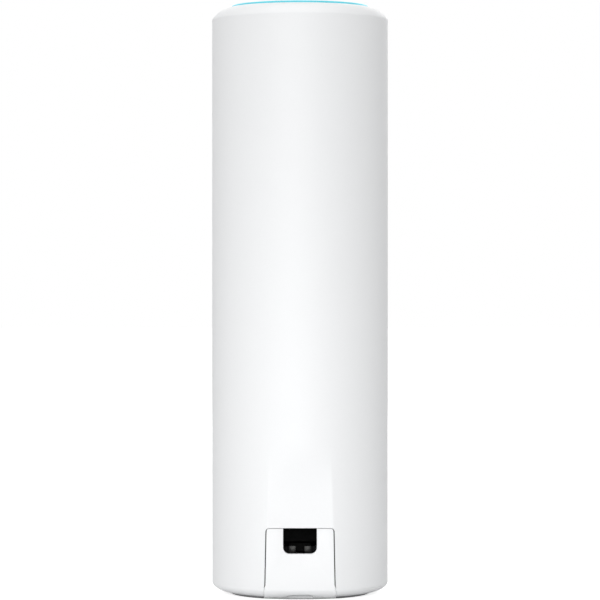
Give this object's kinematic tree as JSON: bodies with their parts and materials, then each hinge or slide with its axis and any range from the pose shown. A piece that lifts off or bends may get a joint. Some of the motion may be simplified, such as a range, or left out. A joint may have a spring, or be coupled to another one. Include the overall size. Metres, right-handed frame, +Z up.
{
  "type": "mesh wifi node",
  "caption": "Slim white upright cylinder that spreads a home's wireless network, with a glowing ring on top, a network socket behind a lift-off rear door and a rubber foot.",
  "frame": {"origin": "middle of the foot's underside, on the table", "axes": "+Z up along the cylinder's axis, -Y towards the door and socket, +X to the right when facing the door"},
  "size_m": [0.0486, 0.0486, 0.162],
  "materials": {
    "white_shell": "fine moulded texture",
    "light_diffuser": "satin, lit from below",
    "foot_rubber": "matte",
    "black_plastic": "satin",
    "grey_plastic": "satin",
    "tin_plate": "plated",
    "gold_plate": "plated",
    "circuit_board": "solder mask",
    "chip_resin": "moulded resin",
    "light_chip": "gloss",
    "ribbon_film": "film",
    "antenna_metal": "stamped",
    "coax_jacket": "smooth",
    "cast_aluminium": "as extruded",
    "pad_gel": "soft",
    "ferrite": "sintered",
    "capacitor_can": "drawn can",
    "screw_steel": "zinc plated"
  },
  "bodies": {
    "housing": {"outer_casing": "white_shell", "top_cap": "white_shell", "base_cap": "white_shell", "light_ring": "light_diffuser", "foot_ring": "foot_rubber", "jack_housing": "black_plastic", "port_bay": "black_plastic", "link_headers": "black_plastic", "antenna_carrier": "grey_plastic", "jack_shield": "tin_plate", "latch_guides": "tin_plate", "processor_shield": "tin_plate", "radio_shields": "tin_plate", "reset_switch": "tin_plate", "jack_contacts": "gold_plate", "coax_plugs": "gold_plate", "main_board": "circuit_board", "port_board": "circuit_board", "led_board": "circuit_board", "processor_chip": "chip_resin", "memory_chips": "chip_resin", "radio_chips": "chip_resin", "line_transformer": "chip_resin", "led_chips": "light_chip", "led_ribbon": "ribbon_film", "low_band_antennas": "antenna_metal", "high_band_antennas": "antenna_metal", "coax_leads": "coax_jacket", "heat_sink": "cast_aluminium", "thermal_pads": "pad_gel", "power_transformer": "ferrite", "power_inductors": "ferrite", "power_capacitors": "capacitor_can", "base_screws": "screw_steel", "board_screws": "screw_steel", "heat_sink_screws": "screw_steel"},
    "door": {"rear_door": "white_shell"},
    "reset": {"reset_button": "grey_plastic"}
  },
  "joints": [
    {"name": "door_slide", "type": "slide", "parent": "housing", "child": "door", "axis": [0, -1, 0], "range_m": [0, 0.02]},
    {"name": "reset_press", "type": "slide", "parent": "housing", "child": "reset", "axis": [0, 1, 0], "range_m": [0, 0.0003], "stiffness_N_per_m": 2000}
  ]
}
